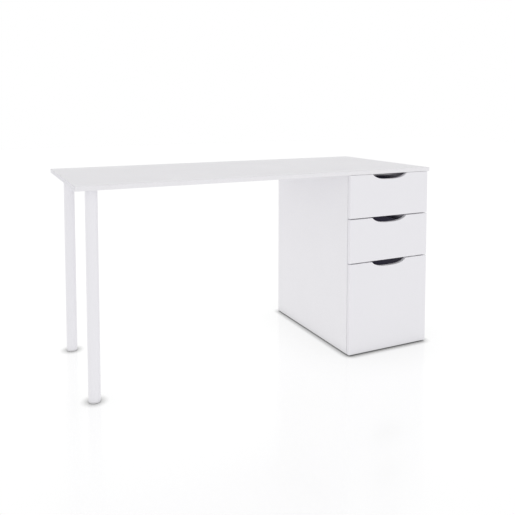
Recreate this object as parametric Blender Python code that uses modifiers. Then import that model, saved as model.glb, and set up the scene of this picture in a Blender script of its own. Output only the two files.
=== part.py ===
"""A straight desk: a thin white top on two round steel legs and a cabinet of three drawers.

Metres, +Z up. The origin is on the floor, under the middle of the top. +X runs along the top
towards the cabinet, and the drawers pull out towards -Y.
"""
import math

import bmesh
import bpy
from mathutils import Matrix, Vector

# The top
TOP_LENGTH = 1.400
TOP_DEPTH = 0.600
TOP_THICK = 0.015
HEIGHT = 0.720

# The gap that is left between pieces that touch
GAP = 0.0003

# The legs, and the screws that hold their plates to the top
LEG_RADIUS = 0.020
LEG_WALL = 0.0015
LEG_FROM_END = 0.060
LEG_FROM_EDGE = 0.066
PLATE_RADIUS = 0.040
PLATE_THICK = 0.003
FOOT_FLANGE = 0.0045
FOOT_PLUG = 0.018
FOOT_EASE = 0.001
SCREWS_PER_PLATE = 4
SCREW_CIRCLE = 0.030
SCREW_SHANK = 0.0022
SCREW_POINT = 0.0015
SCREW_BITE = 0.010
SCREW_HEAD = 0.0043
SCREW_HEAD_HEIGHT = 0.0026

# The cabinet
BOARD = 0.015
CABINET_WIDTH = 0.375
CABINET_FROM_END = 0.010
CABINET_BACK = 0.288
BACK_INSET = 0.003
BOTTOM_HEIGHT = 0.040
PLINTH_INSET = 0.015
RAIL_WIDTH = 0.080
FRONT_RAIL_INSET = 0.050
GLIDE_RADIUS = 0.007
GLIDE_THICK = 0.003
GLIDE_PIN = 0.00125
GLIDE_PIN_LENGTH = 0.012
GLIDE_INSET = 0.040

# The drawer fronts
FRONT_THICK = 0.015
FRONT_TO_CARCASS = 0.002
SCOOP_WIDTH = 0.164
SCOOP_DEPTH = 0.021
SCOOP_STEPS = 28

# The drawer boxes: a thin bottom panel is held in grooves round the sides and the front
SIDE_THICK = 0.012
BOX_LENGTH = 0.480
PANEL_THICK = 0.004
PANEL_LIFT = 0.010
GROOVE_DEPTH = 0.005

# The runners
RUNNER_SPACE = 0.0127
RUNNER_LENGTH = 0.450
RUNNER_SETBACK = 0.002
MIDDLE_SHORTER = 0.010
FOLD_RADIUS = 0.0015
FOLD_STEPS = 3

# Eased edges, and how many sides the round pieces have
BOARD_EDGE = 0.0008
TUBE_SIDES = 48
PLATE_SIDES = 64
SMALL_SIDES = 16
SHARP_ANGLE = math.radians(30)

# Each drawer: the heights of its front's lower and upper edges, the heights of its box's lower
# and upper edges, and the height of its runners' middle line
DRAWERS = {
    "top": (0.537, 0.704, 0.550, 0.660, 0.592),
    "middle": (0.363, 0.533, 0.376, 0.486, 0.418),
    "bottom": (0.004, 0.359, 0.066, 0.326, 0.160),
}

# Each member of a runner, measured from the cabinet's side towards the drawer: the middle of its
# web, the ends of its flanges, half its height, the length of its turned lips, its thickness
MEMBERS = {
    "cabinet": (0.0009, 0.0106, 0.0219, 0.0030, 0.0012),
    "middle": (0.0035, 0.0093, 0.0181, 0.0020, 0.0010),
    "drawer": (0.0118, 0.0052, 0.0139, 0.0, 0.0010),
}

TOP_UNDER = HEIGHT - TOP_THICK
FRONT_FACE = -TOP_DEPTH / 2
FRONT_BACK = FRONT_FACE + FRONT_THICK
CARCASS_FRONT = FRONT_BACK + FRONT_TO_CARCASS
CARCASS_FOOT = GLIDE_THICK + GAP
CARCASS_HEAD = TOP_UNDER - GAP
CABINET_RIGHT = TOP_LENGTH / 2 - CABINET_FROM_END
CABINET_LEFT = CABINET_RIGHT - CABINET_WIDTH
CABINET_MID = (CABINET_LEFT + CABINET_RIGHT) / 2
INNER_LEFT = CABINET_LEFT + BOARD
INNER_RIGHT = CABINET_RIGHT - BOARD
BACK_PANEL_REAR = CABINET_BACK - BACK_INSET
BACK_PANEL_FRONT = BACK_PANEL_REAR - BOARD


def new_collection(name):
    made = bpy.data.collections.new(name)
    bpy.context.scene.collection.children.link(made)
    return made


def finish(name, colour, roughness, metallic=0.0):
    """A plain finish with a colour, a roughness and a metallic value."""
    made = bpy.data.materials.new(name)
    made.use_nodes = True
    shader = made.node_tree.nodes["Principled BSDF"]
    shader.inputs["Base Color"].default_value = (*colour, 1.0)
    shader.inputs["Roughness"].default_value = roughness
    shader.inputs["Metallic"].default_value = metallic
    return made


for leftover in list(bpy.data.objects):
    bpy.data.objects.remove(leftover, do_unlink=True)
PARTS = new_collection("sewing_table")
CUTTERS = new_collection("cutters")
MELAMINE = finish("white_melamine_board", (0.80, 0.80, 0.81), 0.45)
FRONT_FOIL = finish("white_front_foil", (0.81, 0.81, 0.82), 0.40)
POWDER_COAT = finish("white_powder_coat", (0.80, 0.80, 0.81), 0.35)
FOOT_PLASTIC = finish("white_foot_plastic", (0.72, 0.72, 0.73), 0.55)
GLIDE_PLASTIC = finish("grey_glide_plastic", (0.35, 0.35, 0.36), 0.60)
BOX_BOARD = finish("grey_box_board", (0.20, 0.20, 0.22), 0.60)
ZINC = finish("zinc_plated_steel", (0.62, 0.63, 0.65), 0.35, 1.0)


def place(made, name, material=None, parent=None):
    """Name an object and hang it on its parent. An object with no material is a cutter."""
    made.name = name
    made.data.name = name
    for old in list(made.users_collection):
        old.objects.unlink(made)
    if material is None:
        CUTTERS.objects.link(made)
        made.hide_render = True
        made.display_type = "WIRE"
        return made
    PARTS.objects.link(made)
    made.data.materials.clear()
    made.data.materials.append(material)
    if parent is not None:
        made.parent = parent
        made.location = made.location - parent.location
    return made


def shade(mesh):
    """Smooth shading that breaks at the sharp edges."""
    mesh.shade_smooth()
    mesh.set_sharp_from_angle(angle=SHARP_ANGLE)


def settle(made):
    """Give an object the mesh that its modifiers make, in place of the modifiers."""
    bpy.context.view_layer.update()
    seen = made.evaluated_get(bpy.context.evaluated_depsgraph_get())
    mesh = bpy.data.meshes.new_from_object(seen)
    made.modifiers.clear()
    made.data = mesh
    shade(mesh)


def board(name, low, high, material=None, parent=None):
    """A box between two corners. One with a material has its edges eased."""
    low = Vector(low)
    high = Vector(high)
    bpy.ops.mesh.primitive_cube_add(size=1.0, location=(low + high) / 2)
    made = bpy.context.object
    made.data.transform(Matrix.Diagonal((*(high - low), 1.0)))
    if material is not None:
        eased = made.modifiers.new("eased_edges", "BEVEL")
        eased.width = BOARD_EDGE
        eased.segments = 1
    return place(made, name, material, parent)


def bar(name, radius, x, y, low, high, sides, material=None):
    """An upright round bar between two heights."""
    bpy.ops.mesh.primitive_cylinder_add(
        vertices=sides,
        radius=radius,
        depth=high - low,
        location=(x, y, (low + high) / 2),
    )
    made = place(bpy.context.object, name, material)
    shade(made.data)
    return made


def turned(name, profile, x, y, sides, material, closed=False):
    """A round piece from a profile of (radius, height) points, top to bottom on its outer side."""
    mesh = bpy.data.meshes.new(name)
    count = len(profile)
    edges = [(i, i + 1) for i in range(count - 1)]
    if closed:
        edges.append((count - 1, 0))
    mesh.from_pydata([(radius, 0.0, height) for radius, height in profile], edges, [])
    made = bpy.data.objects.new(name, mesh)
    bpy.context.scene.collection.objects.link(made)
    made.location = (x, y, 0.0)
    spin = made.modifiers.new("turn", "SCREW")
    spin.steps = sides
    spin.render_steps = sides
    spin.use_merge_vertices = True
    spin.merge_threshold = 0.00001
    settle(made)
    return place(made, name, material)


def cut(piece, cutter):
    """Cut one solid out of another."""
    taken = piece.modifiers.new("cut_" + cutter.name, "BOOLEAN")
    taken.operation = "DIFFERENCE"
    taken.solver = "EXACT"
    taken.object = cutter


def add_top():
    return board(
        "table_top",
        (-TOP_LENGTH / 2, -TOP_DEPTH / 2, TOP_UNDER),
        (TOP_LENGTH / 2, TOP_DEPTH / 2, HEIGHT),
        MELAMINE,
    )


def add_leg(end, y, top):
    """A steel tube, its plate under the top, its foot, and the plate's screws."""
    x = -TOP_LENGTH / 2 + LEG_FROM_END
    plate_low = TOP_UNDER - GAP - PLATE_THICK
    inner = LEG_RADIUS - LEG_WALL
    tube_low = FOOT_FLANGE + GAP
    tube_high = plate_low - GAP
    tube = [(LEG_RADIUS, tube_high), (LEG_RADIUS, tube_low), (inner, tube_low), (inner, tube_high)]
    turned(end + "_leg_tube", tube, x, y, TUBE_SIDES, POWDER_COAT, closed=True)
    foot = [
        (0.0, FOOT_PLUG),
        (inner - GAP - FOOT_EASE, FOOT_PLUG),
        (inner - GAP, FOOT_PLUG - FOOT_EASE),
        (inner - GAP, FOOT_FLANGE),
        (LEG_RADIUS, FOOT_FLANGE),
        (LEG_RADIUS, FOOT_EASE),
        (LEG_RADIUS - FOOT_EASE, 0.0),
        (0.0, 0.0),
    ]
    turned(end + "_leg_foot", foot, x, y, TUBE_SIDES, FOOT_PLASTIC)
    plate = bar(
        end + "_leg_plate",
        PLATE_RADIUS,
        x,
        y,
        plate_low,
        plate_low + PLATE_THICK,
        PLATE_SIDES,
        POWDER_COAT,
    )
    seat = plate_low - GAP
    screw = [
        (0.0, TOP_UNDER + SCREW_BITE),
        (SCREW_SHANK / 2, TOP_UNDER + SCREW_BITE - SCREW_POINT / 2),
        (SCREW_SHANK, TOP_UNDER + SCREW_BITE - SCREW_POINT),
        (SCREW_SHANK, seat),
        (SCREW_HEAD, seat),
        (SCREW_HEAD * 0.94, seat - SCREW_HEAD_HEIGHT * 0.5),
        (SCREW_HEAD * 0.70, seat - SCREW_HEAD_HEIGHT * 0.85),
        (SCREW_HEAD * 0.30, seat - SCREW_HEAD_HEIGHT),
        (0.0, seat - SCREW_HEAD_HEIGHT),
    ]
    for number in range(SCREWS_PER_PLATE):
        turn = math.tau * (number + 0.5) / SCREWS_PER_PLATE
        screw_x = x + SCREW_CIRCLE * math.cos(turn)
        screw_y = y + SCREW_CIRCLE * math.sin(turn)
        label = end + "_leg_screw_" + str(number + 1)
        turned(label, screw, screw_x, screw_y, SMALL_SIDES, ZINC)
        hole = bar(
            label + "_hole",
            SCREW_SHANK + GAP,
            screw_x,
            screw_y,
            plate_low - PLATE_THICK,
            TOP_UNDER + SCREW_BITE + GAP,
            SMALL_SIDES,
        )
        cut(plate, hole)
        cut(top, hole)


def add_glide(corner, x, y, panel):
    """A nail-in plastic glide under a side panel, and the hole for its pin."""
    label = "glide_" + corner
    pin_top = GLIDE_THICK + GLIDE_PIN_LENGTH
    profile = [
        (0.0, pin_top),
        (GLIDE_PIN, pin_top - GLIDE_PIN),
        (GLIDE_PIN, GLIDE_THICK),
        (GLIDE_RADIUS, GLIDE_THICK),
        (GLIDE_RADIUS, GLIDE_THICK / 3),
        (GLIDE_RADIUS - GLIDE_THICK / 3, 0.0),
        (0.0, 0.0),
    ]
    turned(label, profile, x, y, SMALL_SIDES, GLIDE_PLASTIC)
    hole = bar(label + "_hole", GLIDE_PIN + GAP, x, y, 0.0, pin_top + GAP, SMALL_SIDES)
    cut(panel, hole)


def add_cabinet():
    """Two sides, a bottom, a plinth, a back and two rails, with glides under the sides."""
    for side, low_x in (("left", CABINET_LEFT), ("right", INNER_RIGHT)):
        panel = board(
            "cabinet_" + side + "_side",
            (low_x, CARCASS_FRONT, CARCASS_FOOT),
            (low_x + BOARD, CABINET_BACK, CARCASS_HEAD),
            MELAMINE,
        )
        middle = low_x + BOARD / 2
        add_glide("front_" + side, middle, CARCASS_FRONT + GLIDE_INSET, panel)
        add_glide("rear_" + side, middle, CABINET_BACK - GLIDE_INSET, panel)
    left = INNER_LEFT + GAP
    right = INNER_RIGHT - GAP
    inside_back = BACK_PANEL_FRONT - GAP
    plinth_front = CARCASS_FRONT + PLINTH_INSET
    rail_front = CARCASS_FRONT + FRONT_RAIL_INSET
    rail_low = CARCASS_HEAD - BOARD
    boards = {
        "cabinet_back": (BACK_PANEL_FRONT, BACK_PANEL_REAR, CARCASS_FOOT, CARCASS_HEAD),
        "cabinet_bottom": (CARCASS_FRONT, inside_back, BOTTOM_HEIGHT, BOTTOM_HEIGHT + BOARD),
        "cabinet_plinth": (plinth_front, plinth_front + BOARD, CARCASS_FOOT, BOTTOM_HEIGHT - GAP),
        "cabinet_front_rail": (rail_front, rail_front + RAIL_WIDTH, rail_low, CARCASS_HEAD),
        "cabinet_rear_rail": (inside_back - RAIL_WIDTH, inside_back, rail_low, CARCASS_HEAD),
    }
    for name, (front, back, low, high) in boards.items():
        board(name, (left, front, low), (right, back, high), MELAMINE)


def scoop(along):
    """How deep the finger pull is at `along` (-1 to 1) of its half width: steep at its ends."""
    return SCOOP_DEPTH * (1.0 - abs(along) ** 3) ** 0.75


def add_front(name, low, high, parent):
    """A drawer front: a flat outline with the finger pull scooped out of its upper edge."""
    half_width = CABINET_WIDTH / 2
    half_height = (high - low) / 2
    outline = [
        (-half_width, half_height),
        (-half_width, -half_height),
        (half_width, -half_height),
        (half_width, half_height),
    ]
    for step in range(SCOOP_STEPS + 1):
        along = math.cos(math.pi * step / SCOOP_STEPS)
        outline.append((along * SCOOP_WIDTH / 2, half_height - scoop(along)))
    curve = bpy.data.curves.new(name, "CURVE")
    curve.dimensions = "2D"
    curve.fill_mode = "BOTH"
    curve.extrude = FRONT_THICK / 2
    line = curve.splines.new("POLY")
    line.points.add(len(outline) - 1)
    for point, (x, y) in zip(line.points, outline):
        point.co = (x, y, 0.0, 1.0)
    line.use_cyclic_u = True
    drawn = bpy.data.objects.new(name + "_outline", curve)
    bpy.context.scene.collection.objects.link(drawn)
    bpy.context.view_layer.update()
    seen = drawn.evaluated_get(bpy.context.evaluated_depsgraph_get())
    mesh = bpy.data.meshes.new_from_object(seen)
    shape = bmesh.new()
    shape.from_mesh(mesh)
    bmesh.ops.remove_doubles(shape, verts=shape.verts, dist=0.00001)
    bmesh.ops.dissolve_limit(
        shape, angle_limit=0.001, verts=shape.verts, edges=shape.edges, delimit=set()
    )
    shape.to_mesh(mesh)
    shape.free()
    mesh.transform(Matrix.Rotation(math.pi / 2, 4, "X"))
    bpy.data.objects.remove(drawn, do_unlink=True)
    made = bpy.data.objects.new(name, mesh)
    bpy.context.scene.collection.objects.link(made)
    made.location = (CABINET_MID, FRONT_FACE + FRONT_THICK / 2, (low + high) / 2)
    eased = made.modifiers.new("eased_edges", "BEVEL")
    eased.width = BOARD_EDGE
    eased.segments = 1
    eased.limit_method = "ANGLE"
    eased.angle_limit = SHARP_ANGLE
    return place(made, name, FRONT_FOIL, parent)


def add_drawer(level, front_low, front_high, box_low, box_high):
    """A scooped front, two sides, a back and a bottom panel held in grooves."""
    slide = bpy.data.objects.new(level + "_drawer_slide", None)
    PARTS.objects.link(slide)
    slide.location = (CABINET_MID, FRONT_FACE, (front_low + front_high) / 2)
    bpy.context.view_layer.update()
    label = level + "_drawer_"
    left = INNER_LEFT + RUNNER_SPACE
    right = INNER_RIGHT - RUNNER_SPACE
    side_front = FRONT_BACK + GAP
    side_back = side_front + BOX_LENGTH
    panel_low = box_low + PANEL_LIFT
    panel_high = panel_low + PANEL_THICK
    deep = GROOVE_DEPTH
    groove = board(
        label + "groove",
        (left + SIDE_THICK - deep, FRONT_BACK - deep, panel_low - GAP),
        (right - SIDE_THICK + deep, side_back + deep, panel_high + GAP),
    )
    grooved = [add_front(label + "front", front_low, front_high, slide)]
    for side, low_x in (("left", left), ("right", right - SIDE_THICK)):
        low = (low_x, side_front, box_low)
        high = (low_x + SIDE_THICK, side_back, box_high)
        grooved.append(board(label + side + "_side", low, high, BOX_BOARD, slide))
    for piece in grooved:
        cut(piece, groove)
    low = (left + SIDE_THICK + GAP, side_back - SIDE_THICK, panel_high + GAP)
    high = (right - SIDE_THICK - GAP, side_back, box_high)
    board(label + "back", low, high, BOX_BOARD, slide)
    reach = deep - GAP
    low = (left + SIDE_THICK - reach, FRONT_BACK - reach, panel_low)
    high = (right - SIDE_THICK + reach, side_back, panel_high)
    board(label + "bottom", low, high, BOX_BOARD, slide)
    return slide


def fold(corners):
    """The points of a folded sheet: each inner corner becomes an arc of FOLD_RADIUS."""
    points = [corners[0]]
    for before, corner, after in zip(corners, corners[1:], corners[2:]):
        into = (before - corner).normalized() * FOLD_RADIUS
        out = (after - corner).normalized() * FOLD_RADIUS
        centre = corner + into + out
        for step in range(FOLD_STEPS + 1):
            turn = math.pi / 2 * step / FOLD_STEPS
            points.append(centre - out * math.cos(turn) - into * math.sin(turn))
    points.append(corners[-1])
    return points


def add_member(name, shape, wall, inward, middle_z, front, back, parent):
    """One member of a runner: a folded strip of sheet steel, run from front to back.

    `wall` is the face that the runner is fixed to and `inward` is 1 or -1, towards the drawer.
    """
    web, flange_end, half_height, lip, thick = shape
    corners = [
        Vector((flange_end, half_height)),
        Vector((web, half_height)),
        Vector((web, -half_height)),
        Vector((flange_end, -half_height)),
    ]
    if lip:
        corners.insert(0, Vector((flange_end, half_height - lip)))
        corners.append(Vector((flange_end, lip - half_height)))
    points = fold(corners)
    mesh = bpy.data.meshes.new(name)
    shape_mesh = bmesh.new()
    length = back - front
    start = [shape_mesh.verts.new((inward * p.x, -length / 2, p.y)) for p in points]
    strip = [shape_mesh.edges.new(pair) for pair in zip(start, start[1:])]
    run = bmesh.ops.extrude_edge_only(shape_mesh, edges=strip)
    moved = [item for item in run["geom"] if isinstance(item, bmesh.types.BMVert)]
    bmesh.ops.translate(shape_mesh, verts=moved, vec=(0.0, length, 0.0))
    shape_mesh.to_mesh(mesh)
    shape_mesh.free()
    made = bpy.data.objects.new(name, mesh)
    bpy.context.scene.collection.objects.link(made)
    made.location = (wall, (front + back) / 2, middle_z)
    sheet = made.modifiers.new("sheet_metal", "SOLIDIFY")
    sheet.thickness = thick
    sheet.offset = 0.0
    sheet.use_even_offset = True
    settle(made)
    return place(made, name, ZINC, parent)


def add_runners(level, middle_z, drawer):
    """Both runners of a drawer. The middle members hang on a slide of their own."""
    between = bpy.data.objects.new(level + "_runner_slide", None)
    PARTS.objects.link(between)
    between.location = (CABINET_MID, CARCASS_FRONT, middle_z)
    bpy.context.view_layer.update()
    front = CARCASS_FRONT + RUNNER_SETBACK
    back = front + RUNNER_LENGTH
    drawer_front = FRONT_BACK + RUNNER_SETBACK
    spans = {
        "cabinet": (front, back, None),
        "middle": (front, back - MIDDLE_SHORTER, between),
        "drawer": (drawer_front, drawer_front + RUNNER_LENGTH, drawer),
    }
    for side, wall, inward in (("left", INNER_LEFT, 1), ("right", INNER_RIGHT, -1)):
        for member, (member_front, member_back, parent) in spans.items():
            add_member(
                "_".join((level, side, member, "rail")),
                MEMBERS[member],
                wall,
                inward,
                middle_z,
                member_front,
                member_back,
                parent,
            )


top = add_top()
for leg_end, direction in (("front", -1), ("rear", 1)):
    add_leg(leg_end, direction * (TOP_DEPTH / 2 - LEG_FROM_EDGE), top)
add_cabinet()
for drawer_level, heights in DRAWERS.items():
    drawer_slide = add_drawer(drawer_level, *heights[:4])
    add_runners(drawer_level, heights[4], drawer_slide)
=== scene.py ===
"""A straight sewing table: a thin white top on two round steel legs and a cabinet of three drawers.

The file goes round the table in the order in which it is put together: the room, the top, the
legs and their screws, the cabinet, the drawers, and the runners that carry them.
"""

import bmesh
import bpy
import numpy as np
from mathutils import Euler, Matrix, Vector


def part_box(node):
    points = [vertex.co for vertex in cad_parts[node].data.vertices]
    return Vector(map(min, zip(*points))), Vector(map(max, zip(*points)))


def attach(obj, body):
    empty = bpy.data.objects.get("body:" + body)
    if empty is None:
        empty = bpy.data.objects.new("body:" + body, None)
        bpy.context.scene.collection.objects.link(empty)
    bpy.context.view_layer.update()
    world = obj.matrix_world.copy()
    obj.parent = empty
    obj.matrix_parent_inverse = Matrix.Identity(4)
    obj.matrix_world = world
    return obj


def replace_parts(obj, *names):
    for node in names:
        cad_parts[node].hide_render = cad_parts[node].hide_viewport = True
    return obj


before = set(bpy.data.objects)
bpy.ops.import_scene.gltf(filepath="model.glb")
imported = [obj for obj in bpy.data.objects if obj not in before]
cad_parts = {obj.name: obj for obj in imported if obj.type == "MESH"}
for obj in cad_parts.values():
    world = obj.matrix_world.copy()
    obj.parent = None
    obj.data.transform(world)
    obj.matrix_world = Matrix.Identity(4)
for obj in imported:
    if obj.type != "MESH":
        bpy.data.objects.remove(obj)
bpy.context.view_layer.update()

# ---------------------------------------------------------------------------------------------
# The room: a white sweep in a white studio, as for a catalogue. Light comes evenly from all
# round, a little less of it from above, with one large soft box in front. The floor is a white
# sheet that glows evenly, with a slight gloss, and painted shadow close to what stands on it.
# ---------------------------------------------------------------------------------------------
LENS = 42.29
CAMERA_AT = (-0.9953, -2.2088, 0.9666)
CAMERA_TURN = 25.68
CAMERA_DIP = 3.56
FRAMING_SHIFT = -0.22
FAR_CLIP = 60.0
SKY_LEVEL = 0.81
SKY_FALLS = (0.3, 0.7)
FLOOR_HALF = 12.0
FLOOR_UNDER = 0.0004
FLOOR_GLOW = 1.03
FLOOR_GLOSS = 0.20
FLOOR_ROUGHNESS = 0.18
SHADE_RAYS = 8
CONTACT_REACH = 0.030
CONTACT_DEPTH = 1.6
SHADE_REACH = 0.25
SHADE_DEPTH = 0.16
SOFT_BOX_AT = (0.6, -3.4, 0.9)
SOFT_BOX_TOWARDS = (0.4, 0.0, 0.4)
SOFT_BOX_SIZE = (2.4, 1.6)
SOFT_BOX_WATTS = 3.5
FILL_WATTS = {"top": 0.09, "middle": 0.20, "bottom": 0.20}
FILL_TINT = (0.96, 0.94, 1.0)
FILL_SIZE = 0.03
FILL_Y = -0.05
FILL_SINK = 0.05


def paint(code):
    """An sRGB hex colour as linear red, green, blue and alpha."""
    levels = np.array([int(code[i : i + 2], 16) for i in (1, 3, 5)]) / 255
    curve = np.where(levels <= 0.04045, levels / 12.92, ((levels + 0.055) / 1.055) ** 2.4)
    return (*(float(level) for level in curve), 1.0)


def add(tree, kind, inputs=None, **settings):
    """Add a node, set its options, and give each input a value or a link."""
    made = tree.nodes.new(kind)
    for name, value in settings.items():
        setattr(made, name, value)
    for socket, value in (inputs or {}).items():
        if isinstance(value, bpy.types.NodeSocket):
            tree.links.new(value, made.inputs[socket])
        else:
            made.inputs[socket].default_value = value
    return made


def new_finish(name):
    """A material with an empty node tree."""
    made = bpy.data.materials.new(name)
    made.use_nodes = True
    made.node_tree.nodes.clear()
    return made, made.node_tree


lens = bpy.data.cameras.new("studio_camera")
lens.lens = LENS
lens.shift_y = FRAMING_SHIFT
lens.clip_end = FAR_CLIP
camera = bpy.data.objects.new("studio_camera", lens)
camera.location = CAMERA_AT
camera.rotation_euler = Euler((np.radians(90.0 - CAMERA_DIP), 0.0, np.radians(-CAMERA_TURN)))
bpy.context.scene.collection.objects.link(camera)
bpy.context.scene.camera = camera
bpy.context.scene.view_settings.view_transform = "Standard"

world = bpy.data.worlds.new("white_studio")
world.use_nodes = True
tree = world.node_tree
tree.nodes.clear()
direction = add(tree, "ShaderNodeTexCoord").outputs["Generated"]
upward = add(tree, "ShaderNodeSeparateXYZ", {0: direction}).outputs["Z"]
brightness = add(
    tree,
    "ShaderNodeMapRange",
    {
        "Value": upward,
        "From Min": SKY_FALLS[0],
        "From Max": SKY_FALLS[1],
        "To Min": 1.0,
        "To Max": SKY_LEVEL,
    },
    interpolation_type="SMOOTHSTEP",
)
sky = add(
    tree, "ShaderNodeBackground", {"Color": (1.0, 1.0, 1.0, 1.0), "Strength": brightness.outputs[0]}
)
add(tree, "ShaderNodeOutputWorld", {"Surface": sky.outputs[0]})
bpy.context.scene.world = world

light = bpy.data.lights.new("front_soft_box", "AREA")
light.shape = "RECTANGLE"
light.size, light.size_y = SOFT_BOX_SIZE
light.energy = SOFT_BOX_WATTS
lamp = bpy.data.objects.new("front_soft_box", light)
lamp.location = SOFT_BOX_AT
beam = Vector(SOFT_BOX_TOWARDS) - Vector(SOFT_BOX_AT)
lamp.rotation_euler = beam.to_track_quat("-Z", "Y").to_euler()
bpy.context.scene.collection.objects.link(lamp)

# A dim lamp over each drawer box lifts the dark that shows in the finger pulls
for drawer, watts in FILL_WATTS.items():
    low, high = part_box(drawer + "_drawer_back")
    light = bpy.data.lights.new(drawer + "_fill", "POINT")
    light.energy = watts
    light.color = FILL_TINT
    light.shadow_soft_size = FILL_SIZE
    lamp = bpy.data.objects.new(drawer + "_fill", light)
    lamp.location = ((low[0] + high[0]) / 2, FILL_Y, high[2] - FILL_SINK)
    lamp.visible_camera = False
    bpy.context.scene.collection.objects.link(lamp)

# The floor glows evenly; painted shadow dims the glow in a thin line of contact and a faint wide shade
sweep, tree = new_finish("lit_white_sweep")
contact = add(tree, "ShaderNodeAmbientOcclusion", {"Distance": CONTACT_REACH}, samples=SHADE_RAYS)
line = add(tree, "ShaderNodeMath", {0: contact.outputs["AO"], 1: CONTACT_DEPTH}, operation="POWER")
wide = add(tree, "ShaderNodeAmbientOcclusion", {"Distance": SHADE_REACH}, samples=SHADE_RAYS)
shade = add(
    tree, "ShaderNodeMapRange", {"Value": wide.outputs["AO"], "To Min": 1.0 - SHADE_DEPTH, "To Max": 1.0}
)
lit = add(tree, "ShaderNodeMath", {0: line.outputs[0], 1: shade.outputs[0]}, operation="MULTIPLY")
glow = add(tree, "ShaderNodeEmission", {"Color": lit.outputs[0], "Strength": FLOOR_GLOW})
gloss = add(
    tree, "ShaderNodeBsdfGlossy", {"Color": (1.0, 1.0, 1.0, 1.0), "Roughness": FLOOR_ROUGHNESS}
)
floor_finish = add(
    tree, "ShaderNodeMixShader", {0: FLOOR_GLOSS, 1: glow.outputs[0], 2: gloss.outputs[0]}
)
add(tree, "ShaderNodeOutputMaterial", {"Surface": floor_finish.outputs[0]})
bpy.ops.mesh.primitive_plane_add(size=2 * FLOOR_HALF, location=(0.0, 0.0, -FLOOR_UNDER))
floor = bpy.context.object
floor.name = "studio_floor"
floor.data.materials.append(sweep)


# ---------------------------------------------------------------------------------------------
# The top is one 15 mm chipboard, faced on both sides with satin white melamine paper. Its four
# edges carry a 1 mm ABS band, glued on, trimmed flush and eased: the long bands cover the ends
# of the short ones. It is screwed down on the leg plates and on the cabinet's two rails.
# ---------------------------------------------------------------------------------------------
BAND = 0.001
BAND_EASE = 0.0004
CORE_EASE = 0.0001
EASE_STEPS = 3
MERGE_WITHIN = 0.000002
SHARP_FROM = np.radians(40.0)
RESIN_IOR = 1.5
GRAIN_BOUNDS = (0.35, 0.6)
CLOUD_BOUNDS = (0.3, 0.7)
SHEET_CLOUD_MM = 160.0
SHEET_CLOUD_DEPTH = 0.02
HOLLOW_SHADE = 0.97
CREST_POLISH = -0.05
CLOUD_DULLS = 0.06
MELAMINE_WHITE = "#f0eff2"
BAND_WHITE = "#ebeaed"
# The end bands' greyer white is painted shade
END_BAND_PAINTED_SHADE = "#dfdee3"


def skin(name, shells, material, body, capped=True, closed=False):
    """A piece of one or more closed shells, each an array (rings, points, 3) of rings of points.

    Four-sided faces join each ring to the next, and the last to the first where `closed` is set.
    The end rings are filled where `capped` is set, and a ring that is one point makes a pole.
    """
    shells = [shells] if isinstance(shells, np.ndarray) else shells
    faces = []
    start = 0
    for rings in shells:
        count, around = rings.shape[:2]
        number = start + np.arange(count * around).reshape(count, around)
        here = number if closed else number[:-1]
        ahead = np.roll(number, -1, axis=0)[: len(here)]
        corners = [here, np.roll(here, -1, axis=1), np.roll(ahead, -1, axis=1), ahead]
        faces += np.stack(corners, axis=-1).reshape(-1, 4).tolist()
        if capped and not closed:
            faces += [number[0][::-1].tolist(), number[-1].tolist()]
        start += count * around
    points = np.concatenate([rings.reshape(-1, 3) for rings in shells])
    mesh = bpy.data.meshes.new(name)
    mesh.from_pydata(points.tolist(), [], faces)
    shape = bmesh.new()
    shape.from_mesh(mesh)
    bmesh.ops.remove_doubles(shape, verts=shape.verts, dist=MERGE_WITHIN)
    bmesh.ops.recalc_face_normals(shape, faces=shape.faces)
    shape.to_mesh(mesh)
    shape.free()
    mesh.materials.append(material)
    mesh.shade_smooth()
    mesh.set_sharp_from_angle(angle=SHARP_FROM)
    made = bpy.data.objects.new(name, mesh)
    bpy.context.scene.collection.objects.link(made)
    evened = made.modifiers.new("even_shading", "WEIGHTED_NORMAL")
    evened.keep_sharp = True
    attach(made, body)
    return made


def rounded_box(low, high, ease):
    """Rings of a box with eased edges, run along X.

    The ease is a quarter circle: at the angle t the end has come in by ease (1 - cos t) and the
    section has shrunk by ease (1 - sin t), and the section's corners are what is left of it.
    """
    low = np.array(low, float)
    high = np.array(high, float)
    quarter = np.linspace(0.0, np.pi / 2, EASE_STEPS + 1)
    inset = ease * (1.0 - np.sin(quarter))
    reach = ease * (1.0 - np.cos(quarter))
    x = np.concatenate([low[0] + reach, (high[0] - reach)[::-1]])
    left = (ease - np.concatenate([inset, inset[::-1]]))[:, None]
    turn = (np.arange(4)[:, None] * np.pi / 2 + quarter).ravel()
    half = (high - low)[1:] / 2 - ease
    middle = (high + low)[1:] / 2
    y = middle[0] + half[0] * np.repeat([1, -1, -1, 1], EASE_STEPS + 1) + left * np.cos(turn)
    z = middle[1] + half[1] * np.repeat([1, 1, -1, -1], EASE_STEPS + 1) + left * np.sin(turn)
    return np.stack([np.broadcast_to(x[:, None], y.shape), y, z], axis=-1)


def clouded(tree, place, code, across_mm, depth):
    """A colour with a slow cloud in it that darkens it by up to `depth`, and the cloud itself."""
    cloud = add(tree, "ShaderNodeTexNoise", {"Vector": place, "Scale": 1000.0 / across_mm, "Detail": 3.0})
    colour = paint(code)
    deeper = (*(level * (1.0 - depth) for level in colour[:3]), 1.0)
    tone = add(
        tree, "ShaderNodeMix", {0: cloud.outputs[0], 6: colour, 7: deeper}, data_type="RGBA"
    )
    return tone.outputs[2], cloud.outputs[0]


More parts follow.
